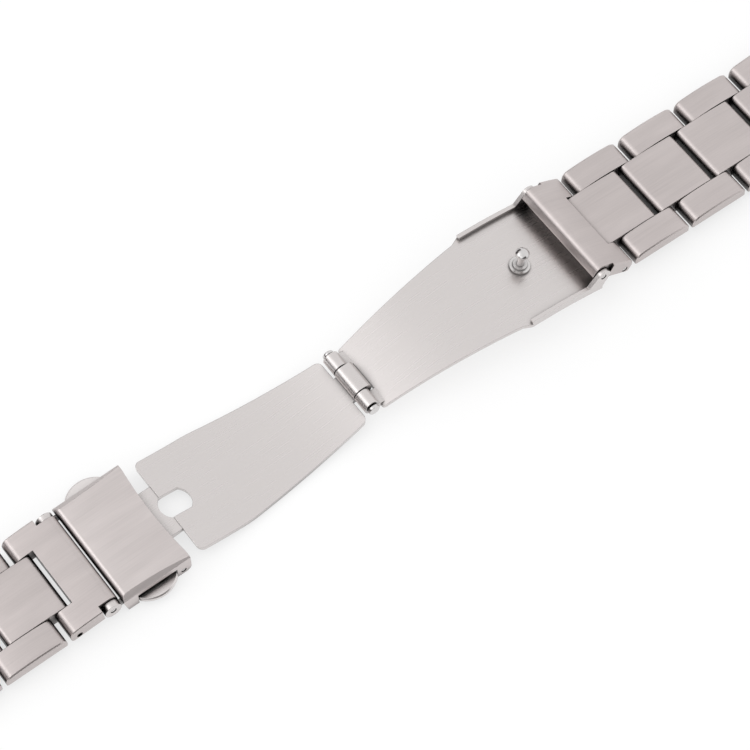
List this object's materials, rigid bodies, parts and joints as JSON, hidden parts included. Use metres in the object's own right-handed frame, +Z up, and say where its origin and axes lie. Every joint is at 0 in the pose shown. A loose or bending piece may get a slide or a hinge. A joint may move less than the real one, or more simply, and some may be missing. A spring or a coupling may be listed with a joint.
{
  "type": "link watch bracelet",
  "caption": "Steel link watch bracelet lying open, with a folding clasp: push-button cover, slotted blade, stud blade and hinged links ending in spring bars.",
  "frame": {"origin": "centre of the footprint at the lowest point, with the clasp open and the band laid out, outer side up", "axes": "+X along the band from the clasp cover's half to the stud blade's half, +Y across the band to the back button, +Z up from the wrist side to the outer side"},
  "size_m": [0.2506, 0.0241, 0.0097],
  "materials": {
    "brushed_steel": "brushed along the band",
    "satin_steel": "fine satin",
    "polished_steel": "polished",
    "spring_steel": "drawn wire"
  },
  "bodies": {
    "cover": {"clasp_cover": "brushed_steel", "button_frame": "satin_steel", "cover_hinge_pin": "polished_steel", "left_ear_pin": "polished_steel", "front_button_spring": "spring_steel", "back_button_spring": "spring_steel"},
    "front_button": {"front_button": "brushed_steel"},
    "back_button": {"back_button": "brushed_steel"},
    "slotted_blade": {"slotted_blade": "satin_steel"},
    "stud_blade": {"stud_blade": "satin_steel", "latch_stud": "polished_steel", "centre_hinge_pin": "polished_steel", "right_ear_pin": "polished_steel"},
    "left_connector": {"left_connector": "brushed_steel", "left_connector_pin": "polished_steel"},
    "left_link_1": {"left_link_1_centre": "brushed_steel", "left_link_1_sides": "brushed_steel", "left_link_1_pins": "polished_steel"},
    "left_link_2": {"left_link_2_centre": "brushed_steel", "left_link_2_sides": "brushed_steel", "left_link_2_pins": "polished_steel"},
    "left_link_3": {"left_link_3_centre": "brushed_steel", "left_link_3_sides": "brushed_steel", "left_link_3_pins": "polished_steel"},
    "left_link_4": {"left_link_4_centre": "brushed_steel", "left_link_4_sides": "brushed_steel", "left_link_4_pins": "polished_steel"},
    "left_link_5": {"left_link_5_centre": "brushed_steel", "left_link_5_sides": "brushed_steel", "left_link_5_pins": "polished_steel"},
    "left_end": {"left_end_link": "brushed_steel", "left_spring_bar_tube": "polished_steel", "left_spring_bar_spring": "spring_steel"},
    "left_front_tip": {"left_spring_bar_front_tip": "polished_steel"},
    "left_back_tip": {"left_spring_bar_back_tip": "polished_steel"},
    "right_connector": {"right_connector": "brushed_steel", "right_connector_pin": "polished_steel"},
    "right_link_1": {"right_link_1_centre": "brushed_steel", "right_link_1_sides": "brushed_steel", "right_link_1_pins": "polished_steel"},
    "right_link_2": {"right_link_2_centre": "brushed_steel", "right_link_2_sides": "brushed_steel", "right_link_2_pins": "polished_steel"},
    "right_link_3": {"right_link_3_centre": "brushed_steel", "right_link_3_sides": "brushed_steel", "right_link_3_pins": "polished_steel"},
    "right_link_4": {"right_link_4_centre": "brushed_steel", "right_link_4_sides": "brushed_steel", "right_link_4_pins": "polished_steel"},
    "right_link_5": {"right_link_5_centre": "brushed_steel", "right_link_5_sides": "brushed_steel", "right_link_5_pins": "polished_steel"},
    "right_end": {"right_end_link": "brushed_steel", "right_spring_bar_tube": "polished_steel", "right_spring_bar_spring": "spring_steel"},
    "right_front_tip": {"right_spring_bar_front_tip": "polished_steel"},
    "right_back_tip": {"right_spring_bar_back_tip": "polished_steel"}
  },
  "joints": [
    {"name": "clasp_fold", "type": "hinge", "parent": "cover", "child": "slotted_blade", "pos_m": [-0.03422, 0, 0.00101], "axis": [0, 1, 0], "range_deg": [0, 170]},
    {"name": "blade_fold", "type": "hinge", "parent": "slotted_blade", "child": "stud_blade", "pos_m": [0.00545, 0, 0.00339], "axis": [0, 1, 0], "range_deg": [-179.1, 0]},
    {"name": "front_button_press", "type": "slide", "parent": "cover", "child": "front_button", "axis": [0, 1, 0], "range_m": [0, 0.0008], "stiffness_N_per_m": 300, "deforming": ["front_button_spring"]},
    {"name": "back_button_press", "type": "slide", "parent": "cover", "child": "back_button", "axis": [0, -1, 0], "range_m": [0, 0.0008], "stiffness_N_per_m": 300, "deforming": ["back_button_spring"]},
    {"name": "left_connector_hinge", "type": "hinge", "parent": "cover", "child": "left_connector", "pos_m": [-0.04713, 0, 0.00257], "axis": [0, 1, 0], "range_deg": [-30, 20]},
    {"name": "left_link_1_hinge", "type": "hinge", "parent": "left_connector", "child": "left_link_1", "pos_m": [-0.05345, 0, 0.00207], "axis": [0, 1, 0], "range_deg": [-30, 20]},
    {"name": "left_link_2_hinge", "type": "hinge", "parent": "left_link_1", "child": "left_link_2", "pos_m": [-0.06544, 0, 0.00185], "axis": [0, 1, 0], "range_deg": [-30, 20]},
    {"name": "left_link_3_hinge", "type": "hinge", "parent": "left_link_2", "child": "left_link_3", "pos_m": [-0.07744, 0, 0.00162], "axis": [0, 1, 0], "range_deg": [-30, 20]},
    {"name": "left_link_4_hinge", "type": "hinge", "parent": "left_link_3", "child": "left_link_4", "pos_m": [-0.08944, 0, 0.0014], "axis": [0, 1, 0], "range_deg": [-30, 20]},
    {"name": "left_link_5_hinge", "type": "hinge", "parent": "left_link_4", "child": "left_link_5", "pos_m": [-0.10144, 0, 0.0014], "axis": [0, 1, 0], "range_deg": [-30, 20]},
    {"name": "left_end_hinge", "type": "hinge", "parent": "left_link_5", "child": "left_end", "pos_m": [-0.11344, 0, 0.0014], "axis": [0, 1, 0], "range_deg": [-30, 20]},
    {"name": "left_front_tip_slide", "type": "slide", "parent": "left_end", "child": "left_front_tip", "axis": [0, 1, 0], "range_m": [0, 0.001], "stiffness_N_per_m": 400, "deforming": ["left_spring_bar_spring"]},
    {"name": "left_back_tip_slide", "type": "slide", "parent": "left_end", "child": "left_back_tip", "axis": [0, -1, 0], "range_m": [0, 0.001], "stiffness_N_per_m": 400, "deforming": ["left_spring_bar_spring"]},
    {"name": "right_connector_hinge", "type": "hinge", "parent": "stud_blade", "child": "right_connector", "pos_m": [0.04871, 0, 0.00586], "axis": [0, 1, 0], "range_deg": [-20, 12]},
    {"name": "right_link_1_hinge", "type": "hinge", "parent": "right_connector", "child": "right_link_1", "pos_m": [0.05348, 0, 0.00301], "axis": [0, 1, 0], "range_deg": [-1, 45]},
    {"name": "right_link_2_hinge", "type": "hinge", "parent": "right_link_1", "child": "right_link_2", "pos_m": [0.06546, 0, 0.00247], "axis": [0, 1, 0], "range_deg": [-20, 30]},
    {"name": "right_link_3_hinge", "type": "hinge", "parent": "right_link_2", "child": "right_link_3", "pos_m": [0.07745, 0, 0.00194], "axis": [0, 1, 0], "range_deg": [-20, 30]},
    {"name": "right_link_4_hinge", "type": "hinge", "parent": "right_link_3", "child": "right_link_4", "pos_m": [0.08944, 0, 0.0014], "axis": [0, 1, 0], "range_deg": [-20, 30]},
    {"name": "right_link_5_hinge", "type": "hinge", "parent": "right_link_4", "child": "right_link_5", "pos_m": [0.10144, 0, 0.0014], "axis": [0, 1, 0], "range_deg": [-20, 30]},
    {"name": "right_end_hinge", "type": "hinge", "parent": "right_link_5", "child": "right_end", "pos_m": [0.11344, 0, 0.0014], "axis": [0, 1, 0], "range_deg": [-20, 30]},
    {"name": "right_front_tip_slide", "type": "slide", "parent": "right_end", "child": "right_front_tip", "axis": [0, 1, 0], "range_m": [0, 0.001], "stiffness_N_per_m": 400, "deforming": ["right_spring_bar_spring"]},
    {"name": "right_back_tip_slide", "type": "slide", "parent": "right_end", "child": "right_back_tip", "axis": [0, -1, 0], "range_m": [0, 0.001], "stiffness_N_per_m": 400, "deforming": ["right_spring_bar_spring"]}
  ],
  "couplings": [
    {"joint": "blade_fold", "follows": "clasp_fold", "ratio": -1.053}
  ]
}
